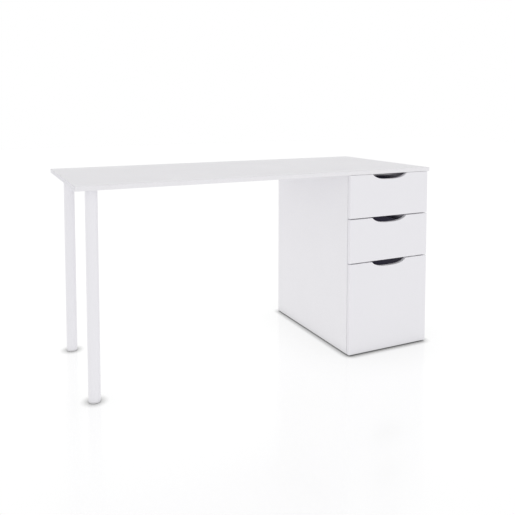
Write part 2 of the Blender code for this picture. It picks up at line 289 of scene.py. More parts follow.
def pressed_sheet(name, code, grain_mm, depth_mm, roughness, gloss, stretch=(1.0, 1.0, 1.0)):
    """A hard sheet finish, with the pearl of the steel plate or roller that pressed it.

    Noise at the grain's size is the relief. Its hollows are darker, which is painted shade, and
    duller than its crests, and a slow cloud changes the roughness. A low number in `stretch` draws
    the grain out along that axis.
    """
    made, tree = new_finish(name)
    place = add(tree, "ShaderNodeTexCoord").outputs["Object"]
    tone, cloud = clouded(tree, place, code, SHEET_CLOUD_MM, SHEET_CLOUD_DEPTH)
    drawn = add(tree, "ShaderNodeMapping", {"Vector": place, "Scale": stretch}).outputs[0]
    grain = add(
        tree, "ShaderNodeTexNoise", {"Vector": drawn, "Scale": 1000.0 / grain_mm, "Detail": 2.0}
    ).outputs[0]
    crest = add(
        tree,
        "ShaderNodeMapRange",
        {"Value": grain, "From Min": GRAIN_BOUNDS[0], "From Max": GRAIN_BOUNDS[1]},
    ).outputs[0]
    # Painted shade: the grain's hollows are made darker than its crests
    shaded = add(tree, "ShaderNodeMapRange", {"Value": crest, "To Min": HOLLOW_SHADE, "To Max": 1.0})
    colour = add(
        tree,
        "ShaderNodeMix",
        {0: 1.0, 6: tone, 7: shaded.outputs[0]},
        data_type="RGBA",
        blend_type="MULTIPLY",
    )
    slow = add(
        tree,
        "ShaderNodeMapRange",
        {
            "Value": cloud,
            "From Min": CLOUD_BOUNDS[0],
            "From Max": CLOUD_BOUNDS[1],
            "To Min": roughness,
            "To Max": roughness + CLOUD_DULLS,
        },
    )
    sheen = add(
        tree,
        "ShaderNodeMath",
        {0: crest, 1: CREST_POLISH, 2: slow.outputs[0]},
        operation="MULTIPLY_ADD",
    )
    relief = add(tree, "ShaderNodeBump", {"Height": grain, "Distance": depth_mm / 1000.0})
    shader = add(
        tree,
        "ShaderNodeBsdfPrincipled",
        {
            "Base Color": colour.outputs[2],
            "Roughness": sheen.outputs[0],
            "Normal": relief.outputs[0],
            "IOR": RESIN_IOR,
            "Specular IOR Level": gloss,
        },
    )
    add(tree, "ShaderNodeOutputMaterial", {"Surface": shader.outputs[0]})
    return made


# Melamine is pressed under a matt steel plate: an even white, a soft sheen, and a pearl of half
# a millimetre, drawn at 2 mm so that it shows. ABS band is extruded and then rolled: a little
# glossier, with a pearl that is drawn out along the edge.
melamine = pressed_sheet(
    "satin_white_melamine", MELAMINE_WHITE, grain_mm=2.0, depth_mm=0.020, roughness=0.44, gloss=0.3
)
rolled = {"grain_mm": 3.0, "depth_mm": 0.012, "roughness": 0.36, "gloss": 0.4}
band_white = pressed_sheet("white_abs_edge_band", BAND_WHITE, stretch=(0.25, 0.5, 1.0), **rolled)
# The bands of the two ends are a shade greyer than the long ones: painted shade on the top's ends
end_band_painted_shade = pressed_sheet(
    "abs_edge_band_painted_shade", END_BAND_PAINTED_SHADE, stretch=(0.5, 0.25, 1.0), **rolled
)


def board(name, low, high, ease, material, body="desk_frame"):
    """A flat board between two corners, with its edges eased."""
    return skin(name, rounded_box(low, high, ease), material, body)


low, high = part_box("table_top")
inner_low = (low[0] + BAND, low[1] + BAND, low[2])
inner_high = (high[0] - BAND, high[1] - BAND, high[2])
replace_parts(board("table_top_board", inner_low, inner_high, CORE_EASE, melamine), "table_top")
bands = {
    "left": ((low[0], inner_low[1], low[2]), (inner_low[0], inner_high[1], high[2])),
    "right": ((inner_high[0], inner_low[1], low[2]), (high[0], inner_high[1], high[2])),
    "front": ((low[0], low[1], low[2]), (high[0], inner_low[1], high[2])),
    "rear": ((low[0], inner_high[1], low[2]), (high[0], high[1], high[2])),
}
for edge, (band_low, band_high) in bands.items():
    # The two end bands get the greyer finish, which is painted shade
    band_finish = end_band_painted_shade if edge in ("left", "right") else band_white
    board("table_top_band_" + edge, band_low, band_high, BAND_EASE, band_finish)


# ---------------------------------------------------------------------------------------------
# Each leg is a 40 mm steel tube with a round plate welded on its upper end, powder coated white
# as one piece. A moulded plastic foot is pushed into its lower end.
# ---------------------------------------------------------------------------------------------
POWDER_WHITE = "#edecf0"
FOOT_WHITE = "#e4e3e6"
TUBE_WALL = 0.0015
TUBE_LIP = 0.0004
BEAD_RADIUS = 0.00132
BEAD_SWELL = 0.000088
BEAD_BELOW = 0.0013
BEAD_SINK = 0.0002
BEAD_RIPPLES = 44
BEAD_POINTS = 12
RIPPLE_POINTS = 8
TUBE_POINTS = 96
COAT_CLOUD_MM = 220.0
COAT_CLOUD_DEPTH = 0.015
PEEL_BOUNDS = (0.1, 0.6)
VALLEY_DULLS = 0.08
CLEAR_SKIN_ROUGHNESS = 0.2
PLASTIC_IOR = 1.49
PLASTIC_CLOUD_MM = 30.0
PLASTIC_CLOUD_DEPTH = 0.05
SPARK_BOUNDS = (0.4, 0.7)
USE_POLISH = 0.1
TUBE_GAP = 0.0003
FOOT_DISH = 0.002
FOOT_SLIM = 0.0015
FOOT_SNUG = 0.0004
FOOT_TAPER = (0.008, 0.010)
PLUG_RIM = 0.0008
FLANGE_EASE = 0.0006
SOLE_ROUND = 0.0012
SOLE_RIM = 0.006
SOLE_HOLLOW = 0.0006


def turned(name, radius, height, x, y, material, slot, closed=False, points=TUBE_POINTS):
    """A round piece: a profile of radii and heights, carried round an upright axis."""
    turn = np.linspace(0.0, 2 * np.pi, points, endpoint=False)
    radius = np.asarray(radius, float)[:, None]
    height = np.asarray(height, float)[:, None] + 0 * turn
    rings = np.stack([x + radius * np.cos(turn), y + radius * np.sin(turn), height], axis=-1)
    return skin(name, rings, material, "desk_frame", capped=False, closed=closed)


def arc(radius, height, size, first, last, steps=6):
    """Points of a profile on a circle of `size`, from one angle to another, in degrees."""
    angle = np.radians(np.linspace(first, last, steps))
    return np.stack([radius + size * np.cos(angle), height + size * np.sin(angle)], axis=-1)


def sprayed_coat(name, code, peel_mm, depth_mm, roughness, gloss, coat):
    """A sprayed coat that has flowed out, under a clear skin of its own resin.

    The orange peel is the smoothed distance to scattered points, one to each `peel_mm`: round
    cushions with soft valleys between, and the valleys are rougher.
    """
    made, tree = new_finish(name)
    place = add(tree, "ShaderNodeTexCoord").outputs["Object"]
    tone = clouded(tree, place, code, COAT_CLOUD_MM, COAT_CLOUD_DEPTH)[0]
    peel = add(
        tree,
        "ShaderNodeTexVoronoi",
        {"Vector": place, "Scale": 1000.0 / peel_mm, "Smoothness": 1.0},
        feature="SMOOTH_F1",
    ).outputs["Distance"]
    valley = add(
        tree,
        "ShaderNodeMapRange",
        {
            "Value": peel,
            "From Min": PEEL_BOUNDS[0],
            "From Max": PEEL_BOUNDS[1],
            "To Min": roughness,
            "To Max": roughness + VALLEY_DULLS,
        },
    )
    relief = add(tree, "ShaderNodeBump", {"Height": peel, "Distance": depth_mm / 1000.0}, invert=True)
    shader = add(
        tree,
        "ShaderNodeBsdfPrincipled",
        {
            "Base Color": tone,
            "Roughness": valley.outputs[0],
            "Normal": relief.outputs[0],
            "IOR": RESIN_IOR,
            "Specular IOR Level": gloss,
            "Coat Weight": coat,
            "Coat Roughness": CLEAR_SKIN_ROUGHNESS,
        },
    )
    add(tree, "ShaderNodeOutputMaterial", {"Surface": shader.outputs[0]})
    return made


def moulded_plastic(name, code, spark_mm, depth_mm, roughness):
    """Moulded plastic with the even stipple that spark erosion leaves in a steel mould.

    The relief is fine noise in four octaves, and what it raises is polished with use.
    """
    made, tree = new_finish(name)
    place = add(tree, "ShaderNodeTexCoord").outputs["Object"]
    tone = clouded(tree, place, code, PLASTIC_CLOUD_MM, PLASTIC_CLOUD_DEPTH)[0]
    spark = add(
        tree, "ShaderNodeTexNoise", {"Vector": place, "Scale": 1000.0 / spark_mm, "Detail": 4.0}
    ).outputs[0]
    used = add(
        tree,
        "ShaderNodeMapRange",
        {
            "Value": spark,
            "From Min": SPARK_BOUNDS[0],
            "From Max": SPARK_BOUNDS[1],
            "To Min": roughness,
            "To Max": roughness - USE_POLISH,
        },
    )
    relief = add(tree, "ShaderNodeBump", {"Height": spark, "Distance": depth_mm / 1000.0})
    shader = add(
        tree,
        "ShaderNodeBsdfPrincipled",
        {
            "Base Color": tone,
            "Roughness": used.outputs[0],
            "Normal": relief.outputs[0],
            "IOR": PLASTIC_IOR,
        },
    )
    add(tree, "ShaderNodeOutputMaterial", {"Surface": shader.outputs[0]})
    return made


# Powder is sprayed dry and baked: it melts into a skin with a shallow orange peel, about 1.6 mm
# from crest to crest. The feet are polypropylene, duller and a shade greyer.
powder_coat = sprayed_coat(
    "white_powder_coat",
    POWDER_WHITE,
    peel_mm=1.6,
    depth_mm=0.012,
    roughness=0.34,
    gloss=0.3,
    coat=0.1,
)
foot_plastic = moulded_plastic(
    "moulded_white_polypropylene", FOOT_WHITE, spark_mm=0.8, depth_mm=0.020, roughness=0.52
)

for end in ("front", "rear"):
    low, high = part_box(end + "_leg_tube")
    leg_x, leg_y = (low[0] + high[0]) / 2, (low[1] + high[1]) / 2
    outer = (high[0] - low[0]) / 2
    inner = outer - TUBE_WALL
    profile = np.concatenate(
        [
            arc(outer - TUBE_LIP, high[2] - TUBE_LIP, TUBE_LIP, 90, 0),
            arc(outer - TUBE_LIP, low[2] + TUBE_LIP, TUBE_LIP, 0, -90),
            [(inner, low[2]), (inner, high[2])],
        ]
    )
    tube = turned(
        end + "_leg_steel_tube", *profile.T, leg_x, leg_y, powder_coat, "white_powder_coat", closed=True
    )
    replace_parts(tube, end + "_leg_tube")

    # The weld: a rounded bead whose size swells and narrows once for every puddle. It is cut off
    # just below the plate
    turn = np.linspace(0.0, 2 * np.pi, RIPPLE_POINTS * BEAD_RIPPLES, endpoint=False)
    around = np.linspace(0.0, 2 * np.pi, BEAD_POINTS, endpoint=False)[:, None]
    size = BEAD_RADIUS + BEAD_SWELL * np.cos(BEAD_RIPPLES * turn)
    across = outer - BEAD_SINK + size * np.cos(around)
    height = high[2] - BEAD_BELOW + size * np.sin(around)
    height = np.minimum(height, high[2] + BEAD_SINK)
    rings = np.stack([leg_x + across * np.cos(turn), leg_y + across * np.sin(turn), height], axis=-1)
    skin(end + "_leg_weld", rings, powder_coat, "desk_frame", closed=True)
    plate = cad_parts[end + "_leg_plate"]
    plate.data.materials.clear()
    plate.data.materials.append(powder_coat)

    # The foot, from the middle of its plug outwards and down: a dished top with a rounded rim, a
    # taper, a snug stretch, the flange that the tube stands on, and a hollowed sole
    low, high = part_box(end + "_leg_foot")
    outer = (high[0] - low[0]) / 2
    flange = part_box(end + "_leg_tube")[0][2] - TUBE_GAP
    dish = high[2] - FOOT_DISH
    slim = inner - FOOT_SLIM
    snug = inner - FOOT_SNUG
    hollow = low[2] + SOLE_HOLLOW
    profile = np.concatenate(
        [
            [(0.0, dish), (inner - 2 * FOOT_SLIM, dish)],
            arc(slim - PLUG_RIM, high[2] - PLUG_RIM, PLUG_RIM, 90, 0),
            [(slim, flange + FOOT_TAPER[1]), (snug, flange + FOOT_TAPER[0])],
            [(snug, flange)],
            arc(outer - FLANGE_EASE, flange - FLANGE_EASE, FLANGE_EASE, 90, 0),
            arc(outer - SOLE_ROUND, low[2] + SOLE_ROUND, SOLE_ROUND, 0, -90),
            [(outer - SOLE_RIM, low[2]), (outer - SOLE_RIM - SOLE_HOLLOW, hollow), (0.0, hollow)],
        ]
    )
    foot = turned(end + "_leg_cap", *profile.T, leg_x, leg_y, foot_plastic, "white_foot_plastic")
    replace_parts(foot, end + "_leg_foot")


# ---------------------------------------------------------------------------------------------
# Pan-head chipboard screws of zinc-plated steel hold the plates and the cabinet's rails to the
# top: a domed head with a pressed cross recess, and a rolled thread that runs to the point.
# ---------------------------------------------------------------------------------------------
SCREWS_PER_PLATE = 4
SCREW_SHANK = 0.0022
THREAD_PITCH = 0.0018
THREAD_HEIGHT = 0.0006
THREAD_KEENNESS = 3
THREAD_STEPS = 6
SCREW_POINTS = 40
SCREW_POINT_LENGTH = 0.00484
SCREW_POINT_CURVE = 0.6
RECESS_DEPTH = 0.0012
RECESS_WIDTH = 0.17
RECESS_REACH = 0.58
RECESS_DEEPEST = 0.75
RECESS_WALL = 0.85
RECESS_FLOOR = 0.25
FLOOR_RISES = (0.1, 0.12)
HEAD_SIDE = 0.45
HEAD_CROWN = 0.97
DOME_RINGS = 7
ZINC_PATCH_MM = 40.0
PATCH_BOUNDS = (0.45, 0.75)
ZINC_ROUGHNESS = (0.28, 0.46)
STREAK_HEIGHT = 0.00001
STREAK_STRENGTH = 0.6
ZINC_GREY = "#c3c7cb"
ZINC_WARM = "#cbc7bb"


def zinc_plate(name, per_metre=(720.0, 720.0, 720.0)):
    """Zinc-plated steel: a bright bluish grey metal with a faint straw tint in patches.

    `per_metre` is how many streaks there are in a metre along each axis: about one in 1.4 mm,
    and far fewer along the axis that a strip was rolled in. The streaks change the roughness.
    """
    made, tree = new_finish(name)
    place = add(tree, "ShaderNodeTexCoord").outputs["Object"]
    drawn = add(tree, "ShaderNodeMapping", {"Vector": place, "Scale": per_metre}).outputs[0]
    streak = add(tree, "ShaderNodeTexNoise", {"Vector": drawn, "Scale": 1.0, "Detail": 4.0})
    patch = add(
        tree, "ShaderNodeTexNoise", {"Vector": place, "Scale": 1000.0 / ZINC_PATCH_MM, "Detail": 2.0}
    )
    tint = add(
        tree,
        "ShaderNodeMapRange",
        {"Value": patch.outputs[0], "From Min": PATCH_BOUNDS[0], "From Max": PATCH_BOUNDS[1]},
    )
    tone = add(
        tree,
        "ShaderNodeMix",
        {0: tint.outputs[0], 6: paint(ZINC_GREY), 7: paint(ZINC_WARM)},
        data_type="RGBA",
    )
    rough = add(
        tree,
        "ShaderNodeMapRange",
        {"Value": streak.outputs[0], "To Min": ZINC_ROUGHNESS[0], "To Max": ZINC_ROUGHNESS[1]},
    )
    relief = add(
        tree,
        "ShaderNodeBump",
        {"Height": streak.outputs[0], "Distance": STREAK_HEIGHT, "Strength": STREAK_STRENGTH},
    )
    shader = add(
        tree,
        "ShaderNodeBsdfPrincipled",
        {
            "Base Color": tone.outputs[2],
            "Metallic": 1.0,
            "Roughness": rough.outputs[0],
            "Normal": relief.outputs[0],
        },
    )
    add(tree, "ShaderNodeOutputMaterial", {"Surface": shader.outputs[0]})
    return made


zinc_screw = zinc_plate("bright_zinc_screw")


def recessed_head(head, tall, points=SCREW_POINTS):
    """Rings of a head that stands on the plane z = 0 and is `tall` below it, rim first.

    The side goes down straight, and turns into a dome that is a flattened half ellipse. Over the
    dome the rings change from the rim's circle to a cross, whose outline is at w / |sin t| or at
    w / |cos t| from the middle, and no further than the arms' ends. Inside it they go back up.
    """
    turn = np.linspace(0.0, 2 * np.pi, points, endpoint=False) + np.pi / points
    level = np.abs(np.sin(turn))
    upright = np.abs(np.cos(turn))
    arm = RECESS_REACH * head
    wide = RECESS_WIDTH * head
    cross = np.maximum(np.minimum(arm, wide / level), np.minimum(arm, wide / upright))
    share = np.linspace(0.0, 1.0, DOME_RINGS)[:, None]
    dome = HEAD_CROWN * head * (1.0 - share) + cross * share
    fall = -tall * (1.0 - HEAD_SIDE + HEAD_SIDE * np.sqrt(1.0 - (dome / head) ** 2))
    deep = min(RECESS_DEEPEST * tall, RECESS_DEPTH) - tall
    # Two rings of the straight side, then the dome, then the recess's wall, floor and middle
    straight = head + 0 * turn
    span = np.stack(
        [straight, straight, *dome, RECESS_WALL * cross, RECESS_FLOOR * cross, 0 * turn]
    )
    floor_rise = [deep + rises * tall for rises in FLOOR_RISES]
    rise = [0.0, -HEAD_SIDE * tall, *fall, deep, *floor_rise]
    rise = np.stack([height + 0 * turn for height in rise])
    return np.stack([span * np.cos(turn), span * np.sin(turn), rise], axis=-1)


def pan_screw(head, tall, shank, length):
    """Rings of a screw whose head is below z = 0 and whose point is at z = `length`.

    The shank's radius is its core plus a ridge that climbs a pitch in each turn, and it narrows
    to the point over SCREW_POINT_LENGTH.
    """
    turn = np.linspace(0.0, 2 * np.pi, SCREW_POINTS, endpoint=False) + np.pi / SCREW_POINTS
    height = np.arange(0.0, length, THREAD_PITCH / THREAD_STEPS)[:, None]
    ridge = np.abs(((height / THREAD_PITCH - turn / (2 * np.pi)) % 1.0) * 2 - 1) ** THREAD_KEENNESS
    point = np.clip((length - height) / SCREW_POINT_LENGTH, 0.0, 1.0) ** SCREW_POINT_CURVE
    radius = (shank - THREAD_HEIGHT + THREAD_HEIGHT * ridge) * point
    stem = np.stack([radius * np.cos(turn), radius * np.sin(turn), height + 0 * turn], axis=-1)
    end = np.broadcast_to(np.array([0.0, 0.0, length]), (1, SCREW_POINTS, 3))
    return np.concatenate([end, stem[::-1], recessed_head(head, tall)])


for end in ("front", "rear"):
    for number in range(1, SCREWS_PER_PLATE + 1):
        node = end + "_leg_screw_" + str(number)
        low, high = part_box(node)
        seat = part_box(end + "_leg_plate")[0][2]
        head = (high[0] - low[0]) / 2
        rings = pan_screw(head, seat - low[2], SCREW_SHANK, high[2] - seat)
        rings += ((low[0] + high[0]) / 2, (low[1] + high[1]) / 2, seat)
        name = "pan_" + node
        screw = skin(name, rings, zinc_screw, "desk_frame", capped=False)
        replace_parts(screw, node)


# ---------------------------------------------------------------------------------------------
# The cabinet is of 15 mm melamine-faced chipboard, doweled and cammed together: two sides that
# stand on nail-in glides, a bottom on a plinth, a back, and two flat rails that four screws hold
# to the top. The sides' front and rear edges are banded.
# ---------------------------------------------------------------------------------------------
GLIDE_GREY = "#8d8e91"
GLIDE_THICK = 0.003
GLIDE_EASE = 0.0005
GLIDE_ROUND = 0.0016
GLIDE_FLAT = 0.4
GLIDE_POINTS = 40
NAIL_RADIUS = 0.0012
NAIL_POINT = ((0.0, 0.0), (0.0005, 0.0008), (NAIL_RADIUS, 0.0024))
RAIL_SCREW_INSET = 0.060
RAIL_SCREW_BITE = 0.010
RAIL_SCREW_HEAD = 0.0043
RAIL_SCREW_TALL = 0.0026

for side in ("left", "right"):
    low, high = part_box("cabinet_" + side + "_side")
    panel = board(
        "cabinet_" + side + "_panel",
        (low[0], low[1] + BAND, low[2]),
        (high[0], high[1] - BAND, high[2]),
        CORE_EASE,
        melamine,
    )
    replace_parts(panel, "cabinet_" + side + "_side")
    for edge, start in (("front", low[1]), ("rear", high[1] - BAND)):
        board(
            "_".join(("cabinet", side, edge, "band")),
            (low[0], start, low[2]),
            (high[0], start + BAND, high[2]),
            BAND_EASE,
            band_white,
        )
for part in ("back", "bottom", "plinth", "front_rail", "rear_rail"):
    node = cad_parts["cabinet_" + part]
    node.data.materials.clear()
    node.data.materials.append(melamine)

# The glides are polyethylene: waxy, and soon scuffed
glide_plastic = moulded_plastic(
    "moulded_grey_polyethylene", GLIDE_GREY, spark_mm=0.8, depth_mm=0.020, roughness=0.58
)
for end in ("front", "rear"):
    for side in ("left", "right"):
        node = "_".join(("glide", end, side))
        low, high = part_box(node)
        wide = (high[0] - low[0]) / 2
        # The nail's point and shank, then the disc with its eased edge and its rounded sole
        profile = np.concatenate(
            [
                [(radius, high[2] - fall) for radius, fall in NAIL_POINT],
                [(NAIL_RADIUS, GLIDE_THICK)],
                arc(wide - GLIDE_EASE, GLIDE_THICK - GLIDE_EASE, GLIDE_EASE, 90, 0),
                arc(wide - GLIDE_ROUND, low[2] + GLIDE_ROUND, GLIDE_ROUND, 0, -90),
                [(wide * GLIDE_FLAT, low[2]), (0.0, low[2])],
            ]
        )
        at = ((low[0] + high[0]) / 2, (low[1] + high[1]) / 2)
        nail = turned(
            node + "_nail_in", *profile.T, *at, glide_plastic, "grey_glide_plastic", points=GLIDE_POINTS
        )
        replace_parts(nail, node)

top_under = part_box("table_top")[0][2]
for rail in ("front", "rear"):
    low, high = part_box("cabinet_" + rail + "_rail")
    length = top_under + RAIL_SCREW_BITE - low[2]
    rings = pan_screw(RAIL_SCREW_HEAD, RAIL_SCREW_TALL, SCREW_SHANK, length)
    middle = (low[1] + high[1]) / 2
    sides = (low[0] + RAIL_SCREW_INSET, high[0] - RAIL_SCREW_INSET)
    pair = [rings + (side, middle, low[2]) for side in sides]
    name = "cabinet_" + rail + "_rail_screws"
    skin(name, pair, zinc_screw, "desk_frame", capped=False)


# ---------------------------------------------------------------------------------------------
# The drawer fronts are 15 mm fibreboard, routed and lacquered white on all sides. The finger
# pull is cut into the upper edge with a round cutter: steep at its ends and nearly flat between.
# ---------------------------------------------------------------------------------------------
SCOOP_WIDTH = 0.164
SCOOP_DEPTH = 0.021
SCOOP_FLAT = 0.06
SCOOP_SOFTENING = 0.0012
SCOOP_SAMPLES = 801
FRONT_EASE = 0.0006
FACE_EASE = 0.00048
OUTLINE_STEP = 0.0010
CORNER_POINTS = 5
LACQUER_WHITE = "#ebeaee"


def scoop_edge(middle, top):
    """The upper edge across the finger pull, as x and z at even steps.

    The depth is d (1 - |s|^3)^0.75 at the share s of the half width. A short flat stretch is
    added at each end, and the two corners are softened by a running mean along the edge.
    """
    share = np.cos(np.linspace(0.0, np.pi, SCOOP_SAMPLES))
    flat = SCOOP_WIDTH * (0.5 + SCOOP_FLAT)
    x = np.concatenate([[flat], share * SCOOP_WIDTH / 2, [-flat]])
    z = np.concatenate([[0.0], -SCOOP_DEPTH * (1 - np.abs(share) ** 3) ** 0.75, [0.0]])
    run = np.concatenate([[0.0], np.cumsum(np.hypot(np.diff(x), np.diff(z)))])
    steps = int(run[-1] / OUTLINE_STEP)
    even = np.linspace(0.0, run[-1], steps)
    line = np.stack([np.interp(even, run, x), np.interp(even, run, z)], axis=-1)
    width = max(3, int(2 * SCOOP_SOFTENING / OUTLINE_STEP) | 1)
    padded = np.pad(line, ((width, width), (0, 0)), mode="edge")
    mean = [np.convolve(padded[:, i], np.ones(width) / width, "same") for i in (0, 1)]
    smooth = np.stack(mean, axis=-1)[width:-width]
    smooth[:2], smooth[-2:] = line[:2], line[-2:]
    return smooth + (middle, top)


def eased_plate(outline, front, back, ease):
    """Rings of an upright plate: its outline in x and z, carried from front to back.

    At the angle t of the ease the outline has moved inwards along its own normal by
    ease (1 - sin t), and the face has come in by ease (1 - cos t).
    """
    along = np.roll(outline, -1, axis=0) - np.roll(outline, 1, axis=0)
    along /= np.linalg.norm(along, axis=1, keepdims=True)
    inward = np.stack([-along[:, 1], along[:, 0]], axis=-1)
    quarter = np.linspace(0.0, np.pi / 2, EASE_STEPS + 1)
    inset = ease * (1.0 - np.sin(quarter))
    reach = ease * (1.0 - np.cos(quarter))
    y = np.concatenate([front + reach, (back - reach)[::-1]])
    inset = np.concatenate([inset, inset[::-1]])
    flat = outline + inward * inset[:, None, None]
    y = np.broadcast_to(y[:, None], flat.shape[:2])
    return np.stack([flat[..., 0], y, flat[..., 1]], axis=-1)


def corner(x, z, size, first):
    """A quarter circle of an outline, turned to the right as it goes."""
    angle = np.radians(np.linspace(first, first + 90, CORNER_POINTS))
    return np.stack([x + size * np.cos(angle), z + size * np.sin(angle)], axis=-1)


# Lacquer is sprayed and left to flow: smoother than melamine, with an orange peel of 2 to 3 mm.
lacquer = sprayed_coat(
    "satin_white_lacquer",
    LACQUER_WHITE,
    peel_mm=2.6,
    depth_mm=0.010,
    roughness=0.40,
    gloss=0.3,
    coat=0.05,
)

for drawer in ("top", "middle", "bottom"):
    low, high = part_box(drawer + "_drawer_front")
    ease = FRONT_EASE
    outline = np.concatenate(
        [
            corner(high[0] - ease, high[2] - ease, ease, 0),
            scoop_edge((low[0] + high[0]) / 2, high[2]),
            corner(low[0] + ease, high[2] - ease, ease, 90),
            corner(low[0] + ease, low[2] + ease, ease, 180),
            corner(high[0] - ease, low[2] + ease, ease, 270),
        ]
    )
    rings = eased_plate(outline, low[1], high[1], FACE_EASE)
    front = skin(drawer + "_drawer_panel", rings, lacquer, drawer + "_drawer")
    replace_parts(front, drawer + "_drawer_front")


# ---------------------------------------------------------------------------------------------
# The drawer boxes are of 12 mm board wrapped in dark grey foil with an embossed linen weave, and
# a 4 mm bottom slid into grooves. The foil's dark grey is painted shade: the dark of the closed
# cabinet as it shows in the finger pulls. Cam discs in the sides draw the front tight.
# ---------------------------------------------------------------------------------------------
# Both tones of the foil are dark as painted shade of the closed cabinet
FOIL_DARK_PAINTED_SHADE = "#4d4a5c"
FOIL_LIGHT_PAINTED_SHADE = "#625f71"
THREAD_MM = 1.6
THREAD_WAVER = 1.2
WORN_BOUNDS = (0.4, 1.3)
WEAVE_HEIGHT = 0.00003
WEAVE_STRENGTH = 0.7
SLUBS_PER_METRE = 90.0
FOIL_ROUGHNESS = (0.5, 0.68)
CAM_POINTS = 48
CAM_RADIUS = 0.0075
CAM_PROUD = 0.0004
CAM_BACK = 0.034
CAM_INSET = 0.030
BOX_SCREW_RADIUS = 0.0033
BOX_SCREW_PROUD = 0.0003


def linen_foil(name):
    """Printed paper foil with a pressed linen weave, in a dark grey that is painted shade.

    Two sets of ridges cross at right angles on each face of the board. The threads are 0.8 mm
    apart in life, and are drawn at twice that so that they show. Slubs, where a thread swells,
    make it lighter in places.
    """
    made, tree = new_finish(name)
    place = add(tree, "ShaderNodeTexCoord").outputs["Object"]
    slub = add(
        tree, "ShaderNodeTexNoise", {"Vector": place, "Scale": SLUBS_PER_METRE, "Detail": 3.0}
    ).outputs[0]
    threads = 1000.0 / THREAD_MM / (2 * np.pi)
    ridges = []
    for axis in "XYZ":
        wave = add(
            tree,
            "ShaderNodeTexWave",
            {"Vector": place, "Scale": threads, "Distortion": THREAD_WAVER, "Detail": 1.0},
            bands_direction=axis,
        )
        ridges.append(wave.outputs["Fac"])
    weave = ridges[0]
    for ridge in ridges[1:]:
        weave = add(tree, "ShaderNodeMath", {0: weave, 1: ridge}, operation="ADD").outputs[0]
    worn = add(tree, "ShaderNodeMath", {0: weave, 1: slub}, operation="MULTIPLY").outputs[0]
    share = add(
        tree,
        "ShaderNodeMapRange",
        {"Value": worn, "From Min": WORN_BOUNDS[0], "From Max": WORN_BOUNDS[1]},
    ).outputs[0]
    tone = add(
        tree,
        "ShaderNodeMix",
        {0: share, 6: paint(FOIL_DARK_PAINTED_SHADE), 7: paint(FOIL_LIGHT_PAINTED_SHADE)},
        data_type="RGBA",
    )
    relief = add(
        tree,
        "ShaderNodeBump",
        {"Height": weave, "Distance": WEAVE_HEIGHT, "Strength": WEAVE_STRENGTH},
    )
    rough = add(
        tree,
        "ShaderNodeMapRange",
        {"Value": slub, "To Min": FOIL_ROUGHNESS[0], "To Max": FOIL_ROUGHNESS[1]},
    )
    shader = add(
        tree,
        "ShaderNodeBsdfPrincipled",
        {
            "Base Color": tone.outputs[2],
            "Roughness": rough.outputs[0],
            "Normal": relief.outputs[0],
        },
    )
    add(tree, "ShaderNodeOutputMaterial", {"Surface": shader.outputs[0]})
    return made


def on_wall(rings, x, y, z, facing):
    """A head's rings laid against an upright wall, with the head towards +X or -X."""
    turned_rings = [x - facing * rings[..., 2], y + rings[..., 0], z + facing * rings[..., 1]]
    return np.stack(turned_rings, axis=-1)


foil = linen_foil("dark_linen_foil_painted_shade")
cam_disc = recessed_head(CAM_RADIUS, CAM_PROUD, points=CAM_POINTS)
box_screw = recessed_head(BOX_SCREW_RADIUS, BOX_SCREW_PROUD)
for drawer in ("top", "middle", "bottom"):
    for part in ("left_side", "right_side", "back", "bottom"):
        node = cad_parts[drawer + "_drawer_" + part]
        node.data.materials.clear()
        node.data.materials.append(foil)
    behind_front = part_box(drawer + "_drawer_front")[1][1]
    back_low, back_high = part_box(drawer + "_drawer_back")
    for side, inner in (("left", 1), ("right", -1)):
        low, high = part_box("_".join((drawer, "drawer", side, "side")))
        # The inner face of a left side is its +X face
        inside, outside = (high[0], low[0]) if inner > 0 else (low[0], high[0])
        levels = (low[2] + CAM_INSET, high[2] - CAM_INSET)
        cams = [on_wall(cam_disc, inside, behind_front + CAM_BACK, level, inner) for level in levels]
        name = "_".join((drawer, "drawer", side))
        skin(name + "_cams", cams, zinc_screw, drawer + "_drawer")
        middle_y = (back_low[1] + back_high[1]) / 2
        screws = [on_wall(box_screw, outside, middle_y, level, -inner) for level in levels]
        skin(name + "_box_screws", screws, zinc_screw, drawer + "_drawer")


# ---------------------------------------------------------------------------------------------
# Each drawer runs on two ball-bearing runners, of three channels rolled from zinc-plated strip.
# The outer is screwed to the cabinet and the inner to the drawer, and the middle one goes half as
# far as the drawer. The balls between them sit in cages, and a plastic lever lets the drawer off.
# ---------------------------------------------------------------------------------------------
FOLD_RADIUS = 0.0015
FOLD_STEPS = 5
STRIP_EASE = 0.00012
WEB_SCREW_HEAD = 0.0036
WEB_SCREW_TALL = 0.0008
WEB_SCREW_INSETS = (0.037, 0.229, 0.421)
CAGE_SETBACK = 0.001
CAGE_LENGTH = 0.032
CAGE_BALLS = 4
BALL_RINGS = 7
BALL_POINTS = 10
LEVER_GREY = "#3c3d40"
LEVER_LENGTH = 0.052
LEVER_WIDTH = 0.0075
LEVER_THICK = 0.0012
LEVER_INSET = 0.115
LEVER_RISE = 0.18
LEVER_TAPER = 0.5
LEVER_SQUARENESS = 12
LEVER_POINTS = 25
LEVER_OFF_WEB = 0.0001
LEVER_EASE = 0.0003

# How far each member's web and its flanges' ends are from the cabinet's side, then half the
# member's height, how far its flanges' ends turn in, and the thickness of its strip
MEMBERS = {
    "cabinet": (0.0009, 0.0106, 0.0219, 0.0030, 0.0012),
    "middle": (0.0035, 0.0093, 0.0181, 0.0020, 0.0010),
    "drawer": (0.0118, 0.0052, 0.0139, 0.0, 0.0010),
}
# The same for the cage in each gap, with the balls' radius last. The outer cage is seen at the
# front of the cabinet's member, and the inner one at the front of the middle member.
CAGES = {
    "cabinet": ((0.00225, 0.0080, 0.01995, 0.0, 0.0004), 0.00125),
    "middle": ((0.00465, 0.0083, 0.0160, 0.0, 0.0004), 0.0015),
}


